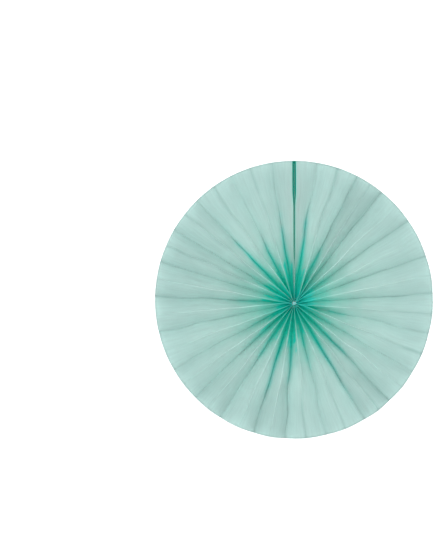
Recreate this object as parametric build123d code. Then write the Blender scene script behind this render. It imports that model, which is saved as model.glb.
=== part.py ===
from build123d import *
import os
from math import atan2, cos, hypot, pi, sin, sqrt

os.makedirs("parts", exist_ok=True)

# A round fan made from one long strip of paper, pleated, drawn together along one edge
# and opened through a full turn, where its two ends are taped face to face.
# It lies on its back: the back folds are in the plane Z = 0 and the front folds rise
# above them. The axis is Z, and the taped seam lies along +Y (12 o'clock). Millimetres.

# --- driving dimensions -----------------------------------------------------------------
fan_radius = 165.0          # axis to the rim
paper_thickness = 0.2       # light craft card
rim_depth = 7.0             # rise of the widest pleat at the rim, back fold to front fold
fold_gap = 0.05             # air left between two layers pressed together at the hub

# Bearing of each back fold at the rim, in degrees clockwise from the seam. The pleats
# are opened by hand, so neighbours differ a little.
back_fold_bearings = [
    8.5, 26, 38.5, 54.5, 71, 87, 104, 121, 136, 149.5, 166.5, 183.5,
    197, 212, 225.5, 240.5, 257, 272, 286.5, 301, 316.5, 334, 351.5,
]

seam_gape = 1.6             # how far each seam fold stands off at the rim
seam_gape_start = 75.0      # radius where the seam begins to gape
flap_back_clearance = 1.0   # the glue flaps stop this far above the back at the rim

tape_thickness = 0.08
tape_clearance = 0.01       # on each side of the tape
tape_width = 5.0
tape_inner_radius = 14.0
tape_rim_margin = 4.0

thread_diameter = 0.4
thread_hole_clearance = 0.15
thread_inset = 3.0          # from the inner edge of the paper to the ring of thread
tail_diameter = 0.42        # the thread's two ends twisted together
tail_bend_radius = 1.2      # where the tail turns up the middle of the hub
knot_diameter = 3.2
knot_turn_radius = 1.0      # each of the turns that are pulled up into the knot
knot_below_front = 1.2      # the knot's centre, below the front folds at the hub

stations = 9                # circles that the fold lines are drawn through
flat_tolerance = 1e-9       # a fold crown this near to Z = 0 is flat on the back

# --- derived sizes ----------------------------------------------------------------------
half_paper = paper_thickness / 2
crown_width = paper_thickness + fold_gap        # flat strip along the crown of each fold
half_crown = crown_width / 2
tape_gap = tape_thickness + 2 * tape_clearance
flap_offset = tape_gap / 2 + half_paper         # middle of a glue flap from the seam plane
seam_half_at_hub = flap_offset + half_crown

back_folds = [bearing / 360 for bearing in back_fold_bearings]
between = [(a + b) / 2 for a, b in zip(back_folds, back_folds[1:])]
front_folds = [0.0] + between + [1.0]
half_pitches = [back - front for front, back in zip(front_folds, back_folds)]
half_pitches.append(front_folds[-1] - back_folds[-1])

# The hub is as small as the closed layers allow at the narrowest pleat.
hub_radius = (crown_width / min(half_pitches) + 2 * seam_half_at_hub) / (2 * pi)


def seam_half(radius):
    """Arc from the seam plane to the crown of a seam fold."""
    opening = max(0.0, (radius - seam_gape_start) / (fan_radius - seam_gape_start))
    return seam_half_at_hub + seam_gape * opening**2


def pleat_arc(radius):
    """The circumference that the seam leaves for the pleats."""
    return 2 * pi * radius - 2 * seam_half(radius)


def run(radius, half_pitch):
    """How much of the circumference one panel covers."""
    return max(0.0, pleat_arc(radius) * half_pitch - crown_width)


# Every panel keeps this width from the hub to the rim.
panel_width = hypot(run(fan_radius, max(half_pitches)), rim_depth)


def rise(radius, index):
    """Height of a front fold over the back folds beside it."""
    return sqrt(panel_width**2 - run(radius, half_pitches[index]) ** 2)


flap_width = min(rise(fan_radius, 0), rise(fan_radius, -1)) - flap_back_clearance


# --- the pleated paper --------------------------------------------------------------------
def seam_side(radius, index):
    """A glue flap's end and bend, and the crown it hangs from, as (arc, height)."""
    top = half_paper + rise(radius, index)
    crown = seam_half(radius)
    return [
        (flap_offset, top - flap_width),
        (flap_offset, top - flap_width + tape_width),
        (crown - half_crown, top),
        (crown + half_crown, top),
    ]


def middle_line(radius):
    """The folded strip's middle line on one circle, as (arc from the seam, height)."""
    start = seam_half(radius)
    length = pleat_arc(radius)
    points = seam_side(radius, 0)
    for index, back in enumerate(back_folds):
        low = start + length * back
        points.append((low - half_crown, half_paper))
        points.append((low + half_crown, half_paper))
        if index + 1 < len(back_folds):
            high = start + length * front_folds[index + 1]
            top = half_paper + rise(radius, index + 1)
            points.append((high - half_crown, top))
            points.append((high + half_crown, top))
    around = 2 * pi * radius
    far_side = [(around - arc, height) for arc, height in seam_side(radius, -1)]
    return points + far_side[::-1]


def skin(points, offset):
    """The line moved sideways by offset, with its corners mitred."""
    steps = [(b[0] - a[0], b[1] - a[1]) for a, b in zip(points, points[1:])]
    slopes = [atan2(dz, dx) for dx, dz in steps]
    slopes = [slopes[0]] + slopes + [slopes[-1]]
    moved = []
    for (x, z), before, after in zip(points, slopes, slopes[1:]):
        middle = (before + after) / 2
        reach = offset / cos((after - before) / 2)
        moved.append((x - reach * sin(middle), z + reach * cos(middle)))
    return moved


def on_circle(radius, point):
    """A point of a skin, wrapped round the axis."""
    arc, height = point
    return Vector(radius * sin(arc / radius), radius * cos(arc / radius), height)


def pleated_paper():
    """The whole sheet: a front and a back skin, closed along the hub, the rim and the flaps."""
    radii = [
        hub_radius + (fan_radius - hub_radius) * step / (stations - 1)
        for step in range(stations)
    ]
    rings = []
    for radius in radii:
        middle = middle_line(radius)
        front = skin(middle, half_paper)
        back = skin(middle, -half_paper)
        outline = front + back[::-1]
        rings.append([on_circle(radius, point) for point in outline])
    fold_lines = [Spline(*points) for points in zip(*rings)]
    count = len(fold_lines)
    faces = [strip(fold_lines[index - 1], fold_lines[index]) for index in range(count)]
    for ring in (rings[0], rings[-1]):
        for index in range(count // 2 - 1):
            front_edge = Line(ring[index], ring[index + 1])
            back_edge = Line(ring[count - 1 - index], ring[count - 2 - index])
            faces.append(Face.make_surface_from_curves(front_edge, back_edge))
    return Solid(Shell(faces))


def strip(near, far):
    """The face between two fold lines, a plane where both lie flat on the back."""
    ends = [near @ 0, near @ 1, far @ 0, far @ 1]
    if any(abs(end.Z) > flat_tolerance for end in ends):
        return Face.make_surface_from_curves(near, far)
    return Face(Wire([near, far, Line(ends[0], ends[2]), Line(ends[1], ends[3])]))


# --- the thread at the hub ------------------------------------------------------------------
thread_ring_radius = hub_radius + thread_inset
thread_height = panel_width / 2
knot_height = half_paper + rise(hub_radius, 0) - knot_below_front


def thread_ring(diameter):
    return Pos(0, 0, thread_height) * Torus(thread_ring_radius, diameter / 2)


def hub_thread():
    """A ring of thread through every panel, with its ends led up to a knot at the front."""
    tail_path = FilletPolyline(
        (0, thread_ring_radius, thread_height),
        (0, 0, thread_height),
        (0, 0, knot_height),
        radius=tail_bend_radius,
    )
    tail_start = Plane(tail_path @ 0, z_dir=tail_path % 0)
    tail = sweep(tail_start * Circle(tail_diameter / 2), tail_path)
    turn_reach = knot_diameter / 2 - knot_turn_radius
    knot = Pos(0, 0, knot_turn_radius / 2) * Sphere(knot_turn_radius)
    for bearing in (0, 120, 240):
        knot += Rot(0, 0, bearing) * Pos(0, turn_reach, 0) * Sphere(knot_turn_radius)
    return thread_ring(thread_diameter) + tail + Pos(0, 0, knot_height) * knot


# --- the tape in the seam -------------------------------------------------------------------
def seam_tape():
    """A thin strip between the glue flaps, along their lower edges."""
    inner = tape_inner_radius
    outer = fan_radius - tape_rim_margin
    low = []
    for step in range(stations):
        radius = inner + (outer - inner) * step / (stations - 1)
        base = half_paper + max(rise(radius, 0), rise(radius, -1)) - flap_width
        low.append(Vector(0, radius, base))
    high = [point + Vector(0, 0, tape_width) for point in low]
    edges = [Spline(*low), Line(low[-1], high[-1]), Spline(*high), Line(high[0], low[0])]
    side = Face(Wire(edges))
    return extrude(side, tape_thickness / 2, dir=(1, 0, 0), both=True)


def main():
    hole = thread_ring(thread_diameter + 2 * thread_hole_clearance)
    paper = pleated_paper() - hole
    print("panel width", panel_width, "hub radius", hub_radius, "flap", flap_width)
    print("paper volume", paper.volume, "valid", paper.is_valid)
    export_step(paper, "parts/pleated_paper.step")
    export_step(hub_thread(), "parts/hub_thread.step")
    export_step(seam_tape(), "parts/seam_tape.step")


main()
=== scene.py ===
from math import atan2, cos, exp, hypot, pi, radians, sin, sqrt

import bmesh
import bpy
from bpy.props import FloatProperty, FloatVectorProperty, IntProperty, PointerProperty
from mathutils import Matrix, Vector, noise


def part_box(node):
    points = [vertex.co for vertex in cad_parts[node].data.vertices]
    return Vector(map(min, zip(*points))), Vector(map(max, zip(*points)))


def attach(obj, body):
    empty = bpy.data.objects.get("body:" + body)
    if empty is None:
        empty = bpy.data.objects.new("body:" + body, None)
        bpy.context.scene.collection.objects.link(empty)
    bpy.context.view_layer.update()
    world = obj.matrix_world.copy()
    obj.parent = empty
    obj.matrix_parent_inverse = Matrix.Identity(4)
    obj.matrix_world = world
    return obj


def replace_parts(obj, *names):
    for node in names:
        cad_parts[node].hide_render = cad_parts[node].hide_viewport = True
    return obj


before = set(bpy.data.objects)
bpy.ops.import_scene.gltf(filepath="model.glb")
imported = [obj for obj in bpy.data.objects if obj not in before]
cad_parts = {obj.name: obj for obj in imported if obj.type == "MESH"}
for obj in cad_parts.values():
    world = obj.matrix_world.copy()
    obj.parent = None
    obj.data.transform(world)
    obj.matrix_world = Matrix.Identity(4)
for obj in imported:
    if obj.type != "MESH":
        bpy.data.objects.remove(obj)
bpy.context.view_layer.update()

bl_info = {
    "name": "Paper Fan Rosette",
    "version": (1, 0, 0),
    "blender": (4, 5, 0),
    "location": "3D View > Sidebar > Paper Fan",
    "description": "Folds a pleated paper fan, ties its hub and sets it in a pale studio",
    "category": "Object",
}

# The fan lies on its back with its axis along Z and its seam along +Y. Metres.
MM = 0.001
PAPER_LOW, PAPER_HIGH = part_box("pleated_paper")
TAPE_LOW, TAPE_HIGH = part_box("seam_tape")
THREAD_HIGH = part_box("hub_thread")[1]

# Bearing of each back fold at the rim, in degrees clockwise from the seam.
BACK_FOLDS = [
    8.5, 26, 38.5, 54.5, 71, 87, 104, 121, 136, 149.5, 166.5, 183.5,
    197, 212, 225.5, 240.5, 257, 272, 286.5, 301, 316.5, 334, 351.5,
]
# How far each front fold leans over near the hub, in millimetres, clockwise. The first
# and the last are the two folds of the seam, which stand straight.
FRONT_LEANS = [
    0, 2.6, 0.8, -0.3, -1.6, 0.5, 1.0, -1.8, 0.4, 1.2, 0.6, 0.9,
    0.5, -0.2, 0.2, -0.6, -0.3, 1.2, -0.8, 0.6, 1.7, 2.4, -0.6, 0,
]
# How far out each back fold stays pinched, as a share of the radius. Past that it is soft.
PINCHED_TO = [
    0.78, 0.58, 0.32, 0.42, 0.35, 0.42, 0.42, 0.48, 0.68, 0.84, 0.55, 0.72,
    0.86, 0.62, 0.62, 0.42, 0.32, 0.5, 0.35, 0.42, 0.74, 0.6, 0.68,
]
# How much of its depth each back fold has lost near the hub, where hands pressed it flat.
PRESSED_FOLDS = {3: 0.1, 4: 0.3, 5: 0.25, 16: 0.25, 17: 0.15, 18: 0.25, 19: 0.1}
# How far out painted shade fills the groove over each back fold, as a share of the radius.
SHADED_TO = [
    0.26, 0.22, 0.1, 0.12, 0.08, 0.14, 0.2, 0.16, 0.26, 0.22, 0.26, 0.32,
    0.24, 0.26, 0.24, 0.2, 0.16, 0.24, 0.2, 0.24, 0.22, 0.27, 0.3,
]
# How plainly each fold shows as a line of painted shade further out, 0 to 1, from the seam
# clockwise.
CREASE_DEPTHS = [
    0, 0.3, 0.8, 0.8, 0.5, 0.6, 0.2, 1, 0.1, 0.9, 0.2, 0.8, 0.5, 0.3, 0.7, 0.2,
    0.2, 0.8, 0.6, 0.8, 0.6, 0.6, 0.7, 0.9, 0.2, 0.9, 0.2, 0.3, 0.3, 0.3, 0.3, 0.3,
    0.2, 0.4, 0.2, 0.9, 0.2, 0.3, 0.7, 0.3, 0.6, 0.3, 0.6, 0.3, 0.6, 0.6, 0,
]


def linear(code):
    """An sRGB hex colour as the linear values that Blender works in."""
    parts = [int(code[place:place + 2], 16) / 255 for place in (1, 3, 5)]
    return tuple(c / 12.92 if c <= 0.04045 else ((c + 0.055) / 1.055) ** 2.4 for c in parts)


def rises(value, start, end):
    """0 as far as start, 1 from end on, and a smooth S between them."""
    part = min(1.0, max(0.0, (value - start) / (end - start)))
    return part * part * (3 - 2 * part)


def falls(value, start, end):
    """1 as far as start, 0 from end on, and a smooth S between them."""
    return 1 - rises(value, start, end)


def rough(across, along, layer):
    """Smooth noise, about -0.5 to 0.5. It changes from fold to fold with the first number
    and from the hub to the rim with the second, and each use has a layer of its own."""
    return noise.noise(Vector((across, along, layer)))


# --- settings -----------------------------------------------------------------------------
class FanSizes(bpy.types.PropertyGroup):
    """Sizes of the fan, in metres."""

    fan_radius: FloatProperty(
        name="Radius", description="From the axis to the rim",
        default=PAPER_HIGH.y, min=0.05, max=0.5, unit="LENGTH",
    )
    paper_thickness: FloatProperty(
        name="Paper", description="Thickness of the paper",
        default=0.2 * MM, min=0.05 * MM, max=0.5 * MM, precision=5, unit="LENGTH",
    )
    hub_radius: FloatProperty(
        name="Hub", description="From the axis to the inner edge of the paper",
        default=2.4 * MM, min=1 * MM, max=0.02, precision=4, unit="LENGTH",
    )
    seam_gape: FloatProperty(
        name="Seam gape", description="How far each seam fold stands off at the rim",
        default=2.1 * MM, min=0, max=0.01, precision=4, unit="LENGTH",
    )
    hub_drop: FloatProperty(
        name="Hub drop", description="How far the hub sits from the rim's middle, towards 6 o'clock",
        default=3.6 * MM, min=0, max=0.01, precision=4, unit="LENGTH",
    )
    wrinkle: FloatProperty(
        name="Wrinkles", description="Height of the soft dents that handling leaves in a panel",
        default=0.35 * MM, min=0, max=2 * MM, precision=5, unit="LENGTH",
    )
    thread_diameter: FloatProperty(
        name="Thread", description="Diameter of the thread at the hub",
        default=0.42 * MM, min=0.1 * MM, max=2 * MM, precision=5, unit="LENGTH",
    )
    rows: IntProperty(
        name="Rows", description="Rows of faces from the hub to the rim",
        default=64, min=8, max=90,
    )


class FanColours(bpy.types.PropertyGroup):
    """Colours of the fan."""

    rim_tint: FloatVectorProperty(
        name="Rim", description="Mint of the paper at the rim",
        subtype="COLOR", size=3, min=0, max=1, default=linear("#CBE1DE"),
    )
    middle_tint: FloatVectorProperty(
        name="Middle", description="Mint of the paper halfway in",
        subtype="COLOR", size=3, min=0, max=1, default=linear("#DEF0ED"),
    )
    inner_tint: FloatVectorProperty(
        name="Inner", description="Green of the paper a fifth of the way out",
        subtype="COLOR", size=3, min=0, max=1, default=linear("#CEF3ED"),
    )
    hub_tint: FloatVectorProperty(
        name="Hub", description="Deep green of the paper at the hub",
        subtype="COLOR", size=3, min=0, max=1, default=linear("#5CFFFD"),
    )
    # Painted shade: the tint multiplied in beside the back folds and in the grooves near the hub.
    painted_fold_shading_tint: FloatVectorProperty(
        name="Fold", description="Tint that the dye deepens by in a fold",
        subtype="COLOR", size=3, min=0, max=1, default=linear("#50FFFA"),
    )
    # Painted shade: the grey-green line that darkens each fold further out.
    crease_shade_tint: FloatVectorProperty(
        name="Crease", description="Grey-green tint of the line that a fold leaves further out",
        subtype="COLOR", size=3, min=0, max=1, default=linear("#D4E2E0"),
    )
    # Painted shade: the deep teal of the narrow seam slot, laid over the glue flaps down in it.
    slot_shade_tint: FloatVectorProperty(
        name="Flaps", description="Tint that the dye deepens by on a glued flap",
        subtype="COLOR", size=3, min=0, max=1, default=linear("#20C8B6"),
    )
    # Painted highlight: the paler green along the crests of the front folds.
    crest_highlight_tint: FloatVectorProperty(
        name="Highlight", description="Paler green of the front folds where fingers rubbed them",
        subtype="COLOR", size=3, min=0, max=1, default=linear("#A0EEE4"),
    )
    thread_tint: FloatVectorProperty(
        name="Thread", description="Blue-green of the thread",
        subtype="COLOR", size=3, min=0, max=1, default=linear("#6CB4B2"),
    )
    tape_tint: FloatVectorProperty(
        name="Tape", description="Milky white of the tape",
        subtype="COLOR", size=3, min=0, max=1, default=linear("#DDEBE5"),
    )
    floor_tint: FloatVectorProperty(
        name="Floor", description="Pale studio floor",
        subtype="COLOR", size=3, min=0, max=1, default=linear("#F4F4F4"),
    )


# --- materials ----------------------------------------------------------------------------
# A Mix node's sockets go by number: floats 2 and 3 are mixed to 0, colours 6 and 7 to 2.
DYE_CLOUD = 14 * MM         # across a cloud of deeper or paler dye
DYE_STRAY = 0.05            # how far the dye's edge strays, as a share of the radius
MARK_WIDTH = 2.6 * MM       # across one of the marks that handling leaves
MARK_LENGTH = 34 * MM
FIBRE_SPACING = 0.8 * MM    # pulp fibres lie closer, and are drawn this coarse so that they show
LET_THROUGH = 0.62          # of the light that the paper scatters comes through the thin sheet
PLY_SPACING = 2.4 * MM      # the thread's plies, drawn this coarse so that they show
TAPE_FIBRES = 1.5 * MM      # the tissue's fibres, drawn this coarse too
FLOOR_GRAIN = 4 * MM        # the backdrop's slow unevenness


def add_node(material, kind, links=None, **settings):
    """A node with its settings, its sockets linked or given values by name or number."""
    tree = material.node_tree
    node = tree.nodes.new(kind)
    for name, value in settings.items():
        setattr(node, name, value)
    for name, source in (links or {}).items():
        if isinstance(source, bpy.types.NodeSocket):
            tree.links.new(source, node.inputs[name])
        else:
            node.inputs[name].default_value = source
    return node


def new_material(name):
    material = bpy.data.materials.new(name)
    material.use_nodes = True
    material.node_tree.nodes.clear()
    return material


def radial_tint(m, place, cloud, sizes, colours):
    """The dye's tint by the share of the way from the hub to the rim, with a cloudy edge."""
    flat_place = add_node(
        m, "ShaderNodeVectorMath", {0: place, 1: (1, 1, 0)}, operation="MULTIPLY",
    )
    from_hub = add_node(
        m, "ShaderNodeVectorMath", {0: flat_place.outputs[0], 1: (0, -sizes.hub_drop, 0)},
        operation="DISTANCE",
    )
    even_share = add_node(
        m, "ShaderNodeMath", {0: from_hub.outputs["Value"], 1: sizes.fan_radius},
        operation="DIVIDE",
    )
    stray = add_node(
        m, "ShaderNodeMapRange",
        {"Value": cloud, "From Min": 0.3, "From Max": 0.7,
         "To Min": -DYE_STRAY, "To Max": DYE_STRAY},
    )
    share = add_node(
        m, "ShaderNodeMath", {0: even_share.outputs[0], 1: stray.outputs[0]}, operation="ADD",
    )
    tint = add_node(m, "ShaderNodeValToRGB", {"Fac": share.outputs[0]})
    stops = [
        (0.0, colours.hub_tint), (0.05, colours.hub_tint), (0.18, colours.inner_tint),
        (0.5, colours.middle_tint), (0.9, colours.rim_tint),
    ]
    ramp = tint.color_ramp
    while len(ramp.elements) < len(stops):
        ramp.elements.new(1.0)
    for element, (position, colour) in zip(ramp.elements, stops):
        element.position = position
        element.color = (*colour, 1)
    return tint.outputs["Color"]


def handling_marks(m):
    """Long narrow marks that run from the hub to the rim. The strip's own map is in metres,
    1.2 m round the fan by 0.16 m from the hub to the rim."""
    strip = add_node(m, "ShaderNodeUVMap", uv_map="strip")
    drawn_out = add_node(
        m, "ShaderNodeVectorMath",
        {0: strip.outputs[0], 1: (1 / MARK_WIDTH, 1 / MARK_LENGTH, 0)}, operation="MULTIPLY",
    )
    marks = add_node(
        m, "ShaderNodeTexNoise",
        {"Vector": drawn_out.outputs[0], "Scale": 1.0, "Detail": 3, "Roughness": 0.6},
    )
    return marks.outputs["Fac"]


def dyed_paper(sizes, colours):
    """Uncoated craft paper, dyed by hand and pleated."""
    # It looks dry and matt, with no glossy highlight, and streaky from handling. Painted shade
    # deepens its folds and painted highlight pales the crests of its front folds. It glows a
    # little, because light comes through the thin sheet.
    m = new_material("dyed_uncoated_paper")
    place = add_node(m, "ShaderNodeTexCoord").outputs["Object"]
    clouds = add_node(
        m, "ShaderNodeTexNoise", {"Vector": place, "Scale": 1 / DYE_CLOUD, "Detail": 2},
    )
    cloud = clouds.outputs["Fac"]
    fibres = add_node(
        m, "ShaderNodeTexNoise", {"Vector": place, "Scale": 1 / FIBRE_SPACING, "Detail": 3},
    )
    marks = handling_marks(m)
    mottle = add_node(
        m, "ShaderNodeMix", {"Factor": 0.5, 2: fibres.outputs["Fac"], 3: cloud},
        data_type="FLOAT",
    )
    marked = add_node(
        m, "ShaderNodeMix", {"Factor": 0.6, 2: mottle.outputs[0], 3: marks}, data_type="FLOAT",
    )
    level = add_node(
        m, "ShaderNodeMapRange",
        {"Value": marked.outputs[0], "From Min": 0.35, "From Max": 0.65,
         "To Min": 0.94, "To Max": 1.04},
    )
    tint = radial_tint(m, place, cloud, sizes, colours)
    uneven = add_node(
        m, "ShaderNodeMix", {"Factor": 1.0, 6: tint, 7: level.outputs[0]},
        data_type="RGBA", blend_type="MULTIPLY",
    )
    colour = uneven.outputs[2]
    # The folded sheet carries how far each of these goes, from 0 to 1, at each of its points:
    # painted shade along the creases, in the grooves and in the seam slot, and painted highlight
    # on the crests of the front folds.
    painted_fold_shading_tints = [
        ("crease_shade", colours.crease_shade_tint, "MULTIPLY"),
        ("groove_shade", colours.painted_fold_shading_tint, "MULTIPLY"),
        ("slot_shade", colours.slot_shade_tint, "MULTIPLY"),
        ("crest_highlight", colours.crest_highlight_tint, "MIX"),
    ]
    for name, painted_fold_shading_tint, blend in painted_fold_shading_tints:
        amount = add_node(m, "ShaderNodeAttribute", attribute_name=name)
        tinted = add_node(
            m, "ShaderNodeMix", {"Factor": amount.outputs["Fac"], 6: colour, 7: (*painted_fold_shading_tint, 1)},
            data_type="RGBA", blend_type=blend,
        )
        colour = tinted.outputs[2]
    rucks = add_node(
        m, "ShaderNodeBump", {"Height": marks, "Strength": 0.5, "Distance": 1.0 * MM},
    )
    bump = add_node(
        m, "ShaderNodeBump",
        {"Height": fibres.outputs["Fac"], "Strength": 0.25, "Distance": 0.05 * MM,
         "Normal": rucks.outputs[0]},
    )
    face = add_node(
        m, "ShaderNodeBsdfPrincipled",
        {"Base Color": colour, "Normal": bump.outputs[0], "Roughness": 0.85,
         "Specular IOR Level": 0.2},
    )
    glow = add_node(m, "ShaderNodeBsdfTranslucent", {"Color": colour})
    paper = add_node(
        m, "ShaderNodeMixShader", {0: LET_THROUGH, 1: face.outputs[0], 2: glow.outputs[0]},
    )
    add_node(m, "ShaderNodeOutputMaterial", {"Surface": paper.outputs[0]})
    return m


def cotton_thread(colours):
    """Cotton thread, twisted from several plies."""
    # It looks soft, with a fuzzy sheen at its edges and slanting light and dark bands.
    m = new_material("twisted_cotton_thread")
    place = add_node(m, "ShaderNodeTexCoord").outputs["Object"]
    ply = add_node(
        m, "ShaderNodeTexWave", {"Vector": place, "Scale": 1 / PLY_SPACING, "Distortion": 2.0},
        bands_direction="DIAGONAL",
    )
    shade = add_node(
        m, "ShaderNodeMapRange", {"Value": ply.outputs["Fac"], "To Min": 0.8, "To Max": 1.0},
    )
    colour = add_node(
        m, "ShaderNodeMix", {"Factor": 1.0, 6: (*colours.thread_tint, 1), 7: shade.outputs[0]},
        data_type="RGBA", blend_type="MULTIPLY",
    )
    bump = add_node(
        m, "ShaderNodeBump", {"Height": ply.outputs["Fac"], "Strength": 0.5, "Distance": 0.1 * MM},
    )
    thread = add_node(
        m, "ShaderNodeBsdfPrincipled",
        {"Base Color": colour.outputs[2], "Normal": bump.outputs[0], "Roughness": 0.7,
         "Sheen Weight": 0.3},
    )
    add_node(m, "ShaderNodeOutputMaterial", {"Surface": thread.outputs[0]})
    return m


def tissue_tape(colours):
    """Double-sided tissue tape."""
    # It looks milky and smoother than the paper, with a faint mottle where the tissue's
    # fibres show through the adhesive.
    m = new_material("double_sided_tissue_tape")
    place = add_node(m, "ShaderNodeTexCoord").outputs["Object"]
    fibres = add_node(
        m, "ShaderNodeTexNoise", {"Vector": place, "Scale": 1 / TAPE_FIBRES, "Detail": 4},
    )
    level = add_node(
        m, "ShaderNodeMapRange", {"Value": fibres.outputs["Fac"], "To Min": 0.9, "To Max": 1.0},
    )
    colour = add_node(
        m, "ShaderNodeMix", {"Factor": 1.0, 6: (*colours.tape_tint, 1), 7: level.outputs[0]},
        data_type="RGBA", blend_type="MULTIPLY",
    )
    tape = add_node(
        m, "ShaderNodeBsdfPrincipled", {"Base Color": colour.outputs[2], "Roughness": 0.35},
    )
    add_node(m, "ShaderNodeOutputMaterial", {"Surface": tape.outputs[0]})
    return m


def studio_floor(colours):
    """Seamless backdrop paper from a wide roll."""
    # It looks pale and even, with hardly any grain and no shine.
    m = new_material("seamless_backdrop_paper")
    place = add_node(m, "ShaderNodeTexCoord").outputs["Object"]
    grain = add_node(m, "ShaderNodeTexNoise", {"Vector": place, "Scale": 1 / FLOOR_GRAIN})
    bump = add_node(
        m, "ShaderNodeBump",
        {"Height": grain.outputs["Fac"], "Strength": 0.05, "Distance": 0.1 * MM},
    )
    floor = add_node(
        m, "ShaderNodeBsdfPrincipled",
        {"Base Color": (*colours.floor_tint, 1), "Roughness": 0.9, "Normal": bump.outputs[0]},
    )
    add_node(m, "ShaderNodeOutputMaterial", {"Surface": floor.outputs[0]})
    return m


# --- the pleated paper --------------------------------------------------------------------
PANELS = 2 * len(BACK_FOLDS)    # panel n lies between fold n and fold n + 1
CROWN_WIDTH = 0.25 * MM     # of the flat strip along the crown of a fold
TAPE_WIDTH = 5 * MM
TAPE_MARGIN = 0.01 * MM     # on each side of the tape
FLAP_BACK_CLEARANCE = 1 * MM    # the glue flaps stop this far above the back at the rim
SLOT_SHARE = 0.42           # of the seam's gape is already there halfway out
FOLD_STRAY = 1.8 * MM       # strength of a fold's slow bends along the circle
FOLD_KINK = 0.4 * MM        # and of its short kinks
PINCH_SHARE = 0.12          # of a pinched fold's rise is in its narrow groove
PINCH_WIDTH = 1.0 * MM
BOW = 0.25                  # how far a panel turns from flat to bowed
RIM_PULL = 0.045            # how far the rim draws in, as a share of its height
ROW_CROWDING = 1.25         # a power: above 1 it crowds the rows of faces towards the hub
# Where the columns of faces lie across a panel, close together beside the folds.
PANEL_STEPS = [0, 0.008, 0.04, 0.12, 0.28, 0.5, 0.72, 0.88, 0.96, 0.992]
# Where they lie on a glue flap: 0 is its end, 1 its bend and 2 the crown of its fold.
FLAP_STEPS = [0, 0.5, 1.0, 1.25, 1.6, 1.9]


def wander(fold, share):
    """How far a fold made by hand strays along the circle."""
    stray = FOLD_STRAY * rough(fold * 4.3, share * 5.0, 1.5)
    kink = FOLD_KINK * rough(fold * 2.9, share * 16.0, 5.5)
    return (stray + kink) * rises(share, 0.15, 0.65)


class Pleats:
    """Where the folded strip lies: its fold lines circle by circle."""

    def __init__(self, sizes):
        self.sizes = sizes
        backs = [bearing / 360 for bearing in BACK_FOLDS]
        fronts = [0.0] + [(a + b) / 2 for a, b in zip(backs, backs[1:])] + [1.0]
        # All the folds in order round the fan: front, back, front, ... front.
        self.folds = [fronts[0]]
        for back, front in zip(backs, fronts[1:]):
            self.folds += [back, front]
        self.panel_width = PAPER_HIGH.z - PAPER_LOW.z - sizes.paper_thickness
        tape_half = (TAPE_HIGH.x - TAPE_LOW.x) / 2
        self.flap_offset = tape_half + TAPE_MARGIN + sizes.paper_thickness / 2
        self.flap_width = self.rise(sizes.fan_radius, 0) - FLAP_BACK_CLEARANCE

    def seam_half(self, radius):
        """Arc from the seam plane to the crown of a seam fold, which opens in two stages."""
        share = radius / self.sizes.fan_radius
        slot = SLOT_SHARE * rises(share, 0.2, 0.4)
        mouth = (1 - SLOT_SHARE) * rises(share, 0.66, 0.8)
        return self.flap_offset + CROWN_WIDTH / 2 + self.sizes.seam_gape * (slot + mouth)

    def pleat_arc(self, radius):
        """The part of the circle that the seam leaves for the pleats."""
        return 2 * pi * radius - 2 * self.seam_half(radius)

    def rise(self, radius, fold):
        """Height of a front fold over the back folds beside it."""
        neighbour = fold + 1 if fold == 0 else fold - 1
        half_pitch = abs(self.folds[fold] - self.folds[neighbour])
        run = max(0.0, self.pleat_arc(radius) * half_pitch - CROWN_WIDTH)
        return sqrt(self.panel_width**2 - run**2)

    def fold_point(self, radius, fold):
        """(arc, height) of a fold line where it crosses a circle."""
        share = radius / self.sizes.fan_radius
        arc = self.seam_half(radius) + self.pleat_arc(radius) * self.folds[fold]
        if 0 < fold < PANELS:
            arc += wander(fold, share)
        base = self.sizes.paper_thickness / 2
        if fold % 2:
            pressed = PRESSED_FOLDS.get(fold // 2, 0) * rises(share, 0.05, 0.15)
            pressed *= falls(share, 0.23, 0.45)
            return arc, base + pressed * self.rise(radius, fold - 1)
        lean = FRONT_LEANS[fold // 2] * MM * rises(share, 0, 0.08) * falls(share, 0.1, 0.5)
        return arc + lean, base + self.rise(radius, fold)

    def flap_points(self, radius, fold):
        """The end, the bend and the crown of the glue flap that hangs from a seam fold, each
        as (distance from the seam, height)."""
        top = self.fold_point(radius, fold)[1]
        end = top - self.flap_width
        return [
            (self.flap_offset, end),
            (self.flap_offset, end + TAPE_WIDTH),
            (self.seam_half(radius), top),
        ]


def along_flap(points, step):
    """(distance from the seam, height) of a place on a glue flap."""
    first = min(int(step), 1)
    share = step - first
    a, b = points[first], points[first + 1]
    return a[0] + (b[0] - a[0]) * share, a[1] + (b[1] - a[1]) * share


def panel_profile(from_back, share, pinch, groove):
    """Height across a panel from its back fold (0) to its front fold (1), as a share of its
    rise. Near the hub a panel is flat and its front fold sharp. Further out it bows, and its
    front fold hardly shows. A pinched back fold has a narrow groove beside it."""
    bow = BOW * rises(share, 0.08, 0.38)
    body = from_back * (1 - bow) + sin(pi / 2 * from_back) * bow
    dip = 1 - exp(-from_back / groove)
    return pinch * dip + (1 - pinch) * body


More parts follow.
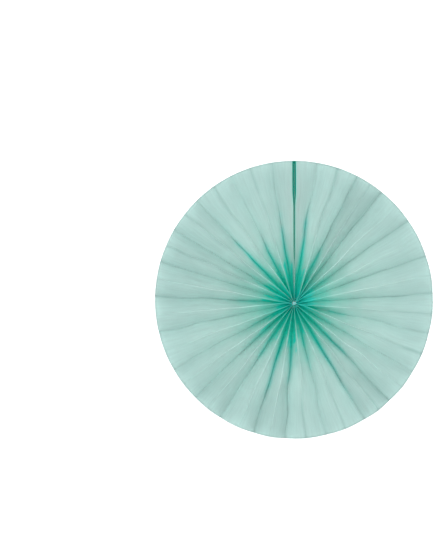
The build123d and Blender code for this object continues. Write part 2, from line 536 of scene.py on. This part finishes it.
def across_panel(pleats, radius, panel, step):
    """(arc, height) of a place on a panel, between the fold before it and the one after."""
    a = pleats.fold_point(radius, panel)
    b = pleats.fold_point(radius, panel + 1)
    from_back, low, high = (step, a[1], b[1]) if panel % 2 else (1 - step, b[1], a[1])
    share = radius / pleats.sizes.fan_radius
    pinched_to = PINCHED_TO[panel // 2]
    pinch = PINCH_SHARE * rises(share, 0.1, 0.3) * falls(share, pinched_to - 0.25, pinched_to)
    groove = min(1.0, PINCH_WIDTH / max(abs(b[0] - a[0]), MM))
    height = low + (high - low) * panel_profile(from_back, share, pinch, groove)
    # Dents that run out from the hub, none of them at the folds themselves.
    seat = 4 * step * (1 - step)
    dent = 2.2 * rough(panel * 3.7 + step * 1.3, share * 6.0, 0.5)
    fine = 0.8 * rough(panel * 5.1 + step * 5.0, share * 17.0, 7.5)
    height += pleats.sizes.wrinkle * seat * rises(share, 0.1, 0.4) * (dent + fine)
    return a[0] + (b[0] - a[0]) * step, height


# --- painted shade and highlight on the folds ---------------------------------------------
STREAK_WIDTH = 2.0 * MM     # of the painted shade beside a back fold
PRESSED_SHADE = 0.9          # how strongly painted shade covers a fold that was pressed flat near the hub
LINE_WIDTH = 1.7 * MM       # of the painted shade line along every fold
BACK_CREASE = 0.6           # of a front fold's line shows along a back fold, which is in shade
RIDGE_WIDTH = 0.5 * MM      # of the painted highlight line along a front fold
STEEP_REACH = 2.5 * MM      # added to a panel's run, so that a steep one gets painted highlight at its top only
SEAM_RIDGE_WIDTH = 0.8 * MM
SEAM_HIGHLIGHT = 0.6              # painted highlight along the folds of the seam, this strong all the way out


class Spot:
    """A place on a panel, with what the painted shade and highlight there depend on."""

    def __init__(self, pleats, radius, panel, step):
        a = pleats.fold_point(radius, panel)
        b = pleats.fold_point(radius, panel + 1)
        self.run = abs(b[0] - a[0])                         # along the circle, fold to fold
        self.share = radius / pleats.sizes.fan_radius       # of the way from the axis to the rim
        self.back = panel // 2                              # which back fold and which front fold
        self.front = (panel + 1) // 2                       # the panel lies between
        self.from_back = step if panel % 2 else 1 - step    # 0 at the back fold, 1 at the front
        self.pressed = PRESSED_FOLDS.get(self.back, 0)
        self.patchy = 0.5 + 0.5 * rough(panel * 2.3, self.share * 9.0, 3.5)
        self.ragged = rough(panel * 3.1 + step * 3.0, self.share * 14.0, 6.5)


def bell(distance, width):
    """1 on a line, fading away on both sides of it."""
    return exp(-(distance / width) ** 2)


def painted_groove_shade(spot):
    """How much painted shade, from 0 to 1: a deeper, more saturated streak beside a back fold as far
    as it is pinched, a pool of it that fills the groove near the hub, and the same over a fold
    that was pressed flat."""
    share = spot.share
    width = STREAK_WIDTH * (1 + 0.6 * falls(share, 0.17, 0.42))
    pinched_to = PINCHED_TO[spot.back] + 0.2 * spot.ragged
    streak = bell(spot.from_back * spot.run, width) * falls(share, pinched_to - 0.5, pinched_to)
    streak *= (0.76 + 0.4 * spot.patchy) * (1 - 0.3 * rises(share, 0.35, 0.5))
    streak *= 1 - spot.pressed * falls(share, 0.23, 0.45)
    shaded_to = SHADED_TO[spot.back] + 0.12 * spot.ragged
    pool = falls(share, shaded_to - 0.07, shaded_to) * falls(spot.from_back, 0.65, 0.95)
    pressed_shade = PRESSED_SHADE * spot.pressed * falls(share, 0.2, 0.3)
    return min(1.0, max(streak, pool, pressed_shade))


def painted_crest_highlight(spot):
    """How much painted highlight pales a front fold's crest, from 0 to 1."""
    to_front = (1 - spot.from_back) * (spot.run + STEEP_REACH)
    if spot.front in (0, len(BACK_FOLDS)):
        return SEAM_HIGHLIGHT * bell(to_front, SEAM_RIDGE_WIDTH)
    highlight_strength = 0.55 + 0.9 * rough(spot.front * 1.7, spot.share * 4.0, 9.5)
    # Less painted highlight beside a fold that was pressed flat.
    highlight_strength *= falls(spot.share, 0.09, 0.29) * (1 - min(1.0, 3 * spot.pressed))
    return min(1.0, max(0.0, highlight_strength * bell(to_front, RIDGE_WIDTH)))


def painted_crease_shade(spot):
    """How much painted shade darkens the line along the nearest fold, from 0 to 1."""
    if spot.from_back < 0.5:
        to_fold, nearest, depth = spot.from_back, 2 * spot.back + 1, BACK_CREASE
    else:
        to_fold, nearest, depth = 1 - spot.from_back, 2 * spot.front, 1
    line = bell(to_fold * spot.run, LINE_WIDTH) * rises(spot.share, 0.25, 0.45)
    return min(1.0, line * (0.2 + spot.patchy) * depth * CREASE_DEPTHS[nearest])


def painted_slot_shade(step):
    """How much painted shade of the seam slot lies on a glue flap, from 0 to 1: all of it up to the
    crown of its fold.
    """
    return falls(step, 1.9, 2.0)


# --- folding ------------------------------------------------------------------------------
def strip_places():
    """Every column of the strip in order, as (part, step)."""
    places = [("near_flap", step) for step in FLAP_STEPS]
    for panel in range(PANELS):
        places += [(panel, step) for step in PANEL_STEPS]
    places += [("far_flap", step) for step in [2.0, *reversed(FLAP_STEPS)]]
    return places


def fold_strip(sizes):
    """The flat strip as a grid, folded column by column and row by row into the fan. The map
    "strip" keeps where each point lies on the strip, in metres."""
    pleats = Pleats(sizes)
    places = strip_places()
    columns, rows = len(places) - 1, sizes.rows
    bm = bmesh.new()
    strip = bm.loops.layers.uv.new("strip")
    # The points carry painted shade and painted highlight, which the paper's material reads.
    names = ("groove_shade", "crest_highlight", "slot_shade", "crease_shade")
    groove_shade, crest_highlight, slot_shade, crease_shade = [bm.verts.layers.float.new(name) for name in names]
    unwrapped = {}
    bmesh.ops.create_grid(bm, x_segments=columns, y_segments=rows, size=0.5)
    for vertex in bm.verts:
        part, step = places[round((vertex.co.x + 0.5) * columns)]
        row = (vertex.co.y + 0.5) ** ROW_CROWDING
        radius = sizes.hub_radius + (sizes.fan_radius - sizes.hub_radius) * row
        if part == "near_flap":
            arc, height = along_flap(pleats.flap_points(radius, 0), step)
            along_strip = -pleats.flap_width * (1 - step / 2)
            vertex[slot_shade] = painted_slot_shade(step)
        elif part == "far_flap":
            arc, height = along_flap(pleats.flap_points(radius, PANELS), step)
            arc = -arc
            along_strip = pleats.panel_width * PANELS + pleats.flap_width * (1 - step / 2)
            vertex[slot_shade] = painted_slot_shade(step)
        else:
            arc, height = across_panel(pleats, radius, part, step)
            along_strip = pleats.panel_width * (part + step)
            spot = Spot(pleats, radius, part, step)
            vertex[groove_shade], vertex[crest_highlight], vertex[crease_shade] = painted_groove_shade(spot), painted_crest_highlight(spot), painted_crease_shade(spot)
        bearing = arc / radius
        drop = sizes.hub_drop * (1 - row)
        radius -= RIM_PULL * height * row**2
        vertex.co = (radius * sin(bearing), radius * cos(bearing) - drop, height)
        unwrapped[vertex] = (along_strip, radius)
    for face in bm.faces:
        for corner in face.loops:
            corner[strip].uv = unwrapped[corner.vert]
    bmesh.ops.recalc_face_normals(bm, faces=bm.faces)
    if sum(face.normal.z for face in bm.faces) < 0:
        bmesh.ops.reverse_faces(bm, faces=bm.faces)
    return bm


# --- the thread ---------------------------------------------------------------------------
SPIN_RADIUS = 10 * MM       # of the plain ring that is bent to the path
CAD_THREAD_RADIUS = 0.2 * MM
RING_RADIUS = THREAD_HIGH.y - CAD_THREAD_RADIUS
RING_HEIGHT = PAPER_HIGH.z / 2
TAIL_BEND = 1.2 * MM
PLY_PITCH = 1.6 * MM        # for one turn of the two strands of a thread
PLY_STEPS = 12              # rings of faces in that turn
KNOT_RADIUS = 1.75 * MM
KNOT_DEPTH = 0.5 * MM       # how far the knot's strand rises over itself and dips under
KNOT_STRAND = 0.85 * MM     # two threads side by side
KNOT_HEIGHT = THREAD_HIGH.z - 1.1 * MM  # of its middle, for a knot about as high as the CAD one
KNOT_TILT = radians(14)
KNOT_TURN = radians(25)
# The thread's two cut ends: each one's length, the bearing and the slope that it leaves the
# knot with, and the radius of the curve that it bends over in.
CUT_ENDS = {
    "long_end": (4.2 * MM, radians(42), radians(50), 4.5 * MM),
    "short_end": (3.1 * MM, radians(95), radians(48), 3.5 * MM),
}


def closed_tube(path, radius, steps, segments):
    """A tube along a closed path. path gives the point for a share of the way round."""
    bm = bmesh.new()
    bmesh.ops.create_circle(bm, segments=segments, radius=radius)
    bmesh.ops.rotate(bm, verts=bm.verts, matrix=Matrix.Rotation(pi / 2, 3, "X"))
    bmesh.ops.translate(bm, verts=bm.verts, vec=(SPIN_RADIUS, 0, 0))
    bmesh.ops.spin(
        bm, geom=bm.verts[:] + bm.edges[:], axis=(0, 0, 1), angle=2 * pi, steps=steps,
        use_merge=True,
    )
    for vertex in bm.verts:
        x, y, z = vertex.co
        share = atan2(y, x) / (2 * pi) % 1.0
        centre = path(share)
        along = (path(share + 0.001) - path(share - 0.001)).normalized()
        outward = (centre - along * centre.dot(along)).normalized()
        vertex.co = centre + outward * (hypot(x, y) - SPIN_RADIUS) + along.cross(outward) * z
    bmesh.ops.recalc_face_normals(bm, faces=bm.faces)
    return bm


def ring_path(share):
    turn = 2 * pi * share
    return Vector((RING_RADIUS * sin(turn), RING_RADIUS * cos(turn), 0))


def knot_path(share):
    """A trefoil: one thread laid over and under itself three times."""
    turn = 2 * pi * share
    reach = KNOT_RADIUS * (2 + cos(3 * turn)) / 3
    return Vector((reach * sin(2 * turn), reach * cos(2 * turn), KNOT_DEPTH * sin(3 * turn)))


def twisted_pair(length, thickness):
    """Two strands wound round each other up the Z axis, with closed ends."""
    bm = bmesh.new()
    radius = thickness / 4
    steps = round(length / PLY_PITCH * PLY_STEPS)
    for side in (-1, 1):
        strand = bmesh.ops.create_circle(bm, cap_ends=True, segments=8, radius=radius)["verts"]
        bmesh.ops.translate(bm, verts=strand, vec=(side * radius, 0, 0))
        edges = {edge for vertex in strand for edge in vertex.link_edges}
        faces = {face for vertex in strand for face in vertex.link_faces}
        bmesh.ops.spin(
            bm, geom=[*strand, *edges, *faces], axis=(0, 0, 1), dvec=(0, 0, length / steps),
            angle=2 * pi * length / PLY_PITCH, steps=steps,
        )
    return bm


def bend(bm, place):
    """Lay a straight thread along a path. place gives its centre, its heading and its side
    for a length along it."""
    for vertex in bm.verts:
        centre, heading, side = place(vertex.co.z)
        vertex.co = centre + side * vertex.co.x + heading.cross(side) * vertex.co.y
    bmesh.ops.recalc_face_normals(bm, faces=bm.faces)


def tail_place(length):
    """From the ring in to the axis, round a small bend and straight up to the knot."""
    side = Vector((1, 0, 0))
    level = RING_RADIUS - TAIL_BEND
    turn = min(max(0.0, length - level) / TAIL_BEND, pi / 2)
    up = max(0.0, length - level - TAIL_BEND * pi / 2)
    y = RING_RADIUS - min(length, level) - TAIL_BEND * sin(turn)
    z = RING_HEIGHT + TAIL_BEND * (1 - cos(turn)) + up
    return Vector((0, y, z)), Vector((0, -cos(turn), sin(turn))), side


def end_place(bearing, rise, curl):
    """Out of the knot and over in a curve, towards a bearing."""
    outward = Vector((sin(bearing), cos(bearing), 0))
    side = Vector((outward.y, -outward.x, 0))

    def place(length):
        slope = rise - length / curl
        reach = curl * (sin(rise) - sin(slope))
        height = KNOT_HEIGHT + curl * (cos(slope) - cos(rise))
        heading = outward * cos(slope) + Vector((0, 0, sin(slope)))
        return outward * reach + Vector((0, 0, height)), heading, side
    return place


def hub_ring(thickness):
    """The ring of thread through every panel."""
    bm = closed_tube(ring_path, thickness / 2, steps=96, segments=10)
    bmesh.ops.translate(bm, verts=bm.verts, vec=(0, 0, RING_HEIGHT))
    return bm


def hub_knot():
    """The knot at the top of the tail, a little askew."""
    bm = closed_tube(knot_path, KNOT_STRAND / 2, steps=120, segments=12)
    tilt = Matrix.Rotation(KNOT_TILT, 3, "X") @ Matrix.Rotation(KNOT_TURN, 3, "Z")
    bmesh.ops.rotate(bm, verts=bm.verts, matrix=tilt)
    bmesh.ops.translate(bm, verts=bm.verts, vec=(0, 0, KNOT_HEIGHT))
    return bm


def hub_tail(thickness):
    """The thread's two ends twisted together, from the ring to the knot."""
    level, up = RING_RADIUS - TAIL_BEND, KNOT_HEIGHT - RING_HEIGHT - TAIL_BEND
    bm = twisted_pair(level + TAIL_BEND * pi / 2 + up, thickness)
    bend(bm, tail_place)
    return bm


def cut_end(thickness, length, bearing, rise, curl):
    """A short end that stands out of the knot and bends over."""
    bm = twisted_pair(length, thickness)
    bend(bm, end_place(bearing, rise, curl))
    return bm


# --- the stage ----------------------------------------------------------------------------
FLOOR_REACH = 12            # metres from the fan to the edge of the floor
FLOOR_DROP = 0.05 * MM      # from the back of the fan to the floor
ROOM_LIGHT = 0.35           # even light from all round
KEY_PLACE = (-0.07, 0.09, 3.4)
KEY_SIZE = 1.0
KEY_POWER = 160
# A long lens high over the fan and a little towards its seam. The fan lies to the right of
# the view's middle and below it.
LENS = 250
SENSOR = 36
VIEW_HEIGHT = 0.6364        # metres from the top of the view to its bottom, at the fan
VIEW_MIDDLE = Vector((-0.0907, 0.0372, 0.008))
VIEW_TILT = radians(1)


def add_floor(colours):
    bm = bmesh.new()
    bmesh.ops.create_grid(bm, x_segments=1, y_segments=1, size=FLOOR_REACH)
    bmesh.ops.translate(bm, verts=bm.verts, vec=(0, 0, -FLOOR_DROP))
    mesh = bpy.data.meshes.new("studio_floor")
    bm.to_mesh(mesh)
    bm.free()
    mesh.materials.append(studio_floor(colours))
    floor = bpy.data.objects.new("studio_floor", mesh)
    bpy.context.scene.collection.objects.link(floor)


def add_room_light():
    world = bpy.data.worlds.new("soft_room")
    world.use_nodes = True
    background = world.node_tree.nodes["Background"]
    background.inputs["Color"].default_value = (1, 1, 1, 1)
    background.inputs["Strength"].default_value = ROOM_LIGHT
    bpy.context.scene.world = world


def add_key():
    """A wide round lamp for soft light, almost straight above the fan."""
    data = bpy.data.lights.new("key", "AREA")
    data.shape = "DISK"
    data.size = KEY_SIZE
    data.energy = KEY_POWER
    key = bpy.data.objects.new("key", data)
    key.location = KEY_PLACE
    key.rotation_euler = (-Vector(KEY_PLACE)).to_track_quat("-Z", "Y").to_euler()
    key.visible_camera = False
    bpy.context.scene.collection.objects.link(key)


def add_camera():
    data = bpy.data.cameras.new("camera")
    data.lens = LENS
    data.sensor_width = SENSOR
    camera = bpy.data.objects.new("camera", data)
    distance = VIEW_HEIGHT * LENS / SENSOR
    camera.location = VIEW_MIDDLE + distance * Vector((0, sin(VIEW_TILT), cos(VIEW_TILT)))
    camera.rotation_euler = (-VIEW_TILT, 0, 0)
    bpy.context.scene.collection.objects.link(camera)
    bpy.context.scene.camera = camera


# --- operators ----------------------------------------------------------------------------
def finished(name, bm, material):
    """A mesh object at the origin that rides on the fan's only body."""
    for face in bm.faces:
        face.smooth = True
    mesh = bpy.data.meshes.new(name)
    bm.to_mesh(mesh)
    bm.free()
    mesh.materials.append(material)
    piece = bpy.data.objects.new(name, mesh)
    bpy.context.scene.collection.objects.link(piece)
    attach(piece, "root")
    return piece


class FAN_OT_add_pleated_paper(bpy.types.Operator):
    """Fold the paper strip into the fan"""

    bl_idname = "fan.add_pleated_paper"
    bl_label = "Pleated Paper"

    def execute(self, context):
        sizes, colours = context.scene.fan_sizes, context.scene.fan_colours
        sheet = finished("folded_paper", fold_strip(sizes), dyed_paper(sizes, colours))
        wall = sheet.modifiers.new("paper thickness", "SOLIDIFY")
        wall.thickness = sizes.paper_thickness
        wall.offset = 0
        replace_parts(sheet, "pleated_paper")
        return {"FINISHED"}


class FAN_OT_add_hub_thread(bpy.types.Operator):
    """Tie the hub with its ring of thread and its knot"""

    bl_idname = "fan.add_hub_thread"
    bl_label = "Hub Thread"

    def execute(self, context):
        sizes, colours = context.scene.fan_sizes, context.scene.fan_colours
        material = cotton_thread(colours)
        thickness = sizes.thread_diameter
        made = {
            "hub_ring": hub_ring(thickness), "hub_knot": hub_knot(),
            "hub_tail": hub_tail(thickness),
        }
        for name, course in CUT_ENDS.items():
            made[name] = cut_end(thickness, *course)
        for name, bm in made.items():
            bmesh.ops.translate(bm, verts=bm.verts, vec=(0, -sizes.hub_drop, 0))
            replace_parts(finished(name, bm, material), "hub_thread")
        return {"FINISHED"}


class FAN_OT_add_seam_tape(bpy.types.Operator):
    """Finish the tape between the two glue flaps"""

    bl_idname = "fan.add_seam_tape"
    bl_label = "Seam Tape"

    def execute(self, context):
        material = tissue_tape(context.scene.fan_colours)
        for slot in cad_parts["seam_tape"].material_slots:
            slot.material = material
        return {"FINISHED"}


class FAN_OT_add_stage(bpy.types.Operator):
    """Set the pale floor, the soft lights and the camera"""

    bl_idname = "fan.add_stage"
    bl_label = "Studio Stage"

    def execute(self, context):
        add_floor(context.scene.fan_colours)
        add_room_light()
        add_key()
        add_camera()
        context.scene.view_settings.view_transform = "Standard"
        return {"FINISHED"}


class VIEW3D_PT_paper_fan(bpy.types.Panel):
    """Sizes, colours and parts of the paper fan"""

    bl_label = "Paper Fan"
    bl_space_type = "VIEW_3D"
    bl_region_type = "UI"
    bl_category = "Paper Fan"

    def draw(self, context):
        for group in (context.scene.fan_sizes, context.scene.fan_colours):
            for name in group.__annotations__:
                self.layout.prop(group, name)
        for operator in OPERATORS:
            self.layout.operator(operator.bl_idname)


OPERATORS = [
    FAN_OT_add_pleated_paper,
    FAN_OT_add_hub_thread,
    FAN_OT_add_seam_tape,
    FAN_OT_add_stage,
]
CLASSES = [FanSizes, FanColours, *OPERATORS, VIEW3D_PT_paper_fan]


def register():
    for cls in CLASSES:
        bpy.utils.register_class(cls)
    bpy.types.Scene.fan_sizes = PointerProperty(type=FanSizes)
    bpy.types.Scene.fan_colours = PointerProperty(type=FanColours)


def unregister():
    del bpy.types.Scene.fan_colours
    del bpy.types.Scene.fan_sizes
    for cls in reversed(CLASSES):
        bpy.utils.unregister_class(cls)


def main():
    register()
    bpy.ops.fan.add_pleated_paper()
    bpy.ops.fan.add_hub_thread()
    bpy.ops.fan.add_seam_tape()
    bpy.ops.fan.add_stage()


if __name__ == "__main__":
    main()
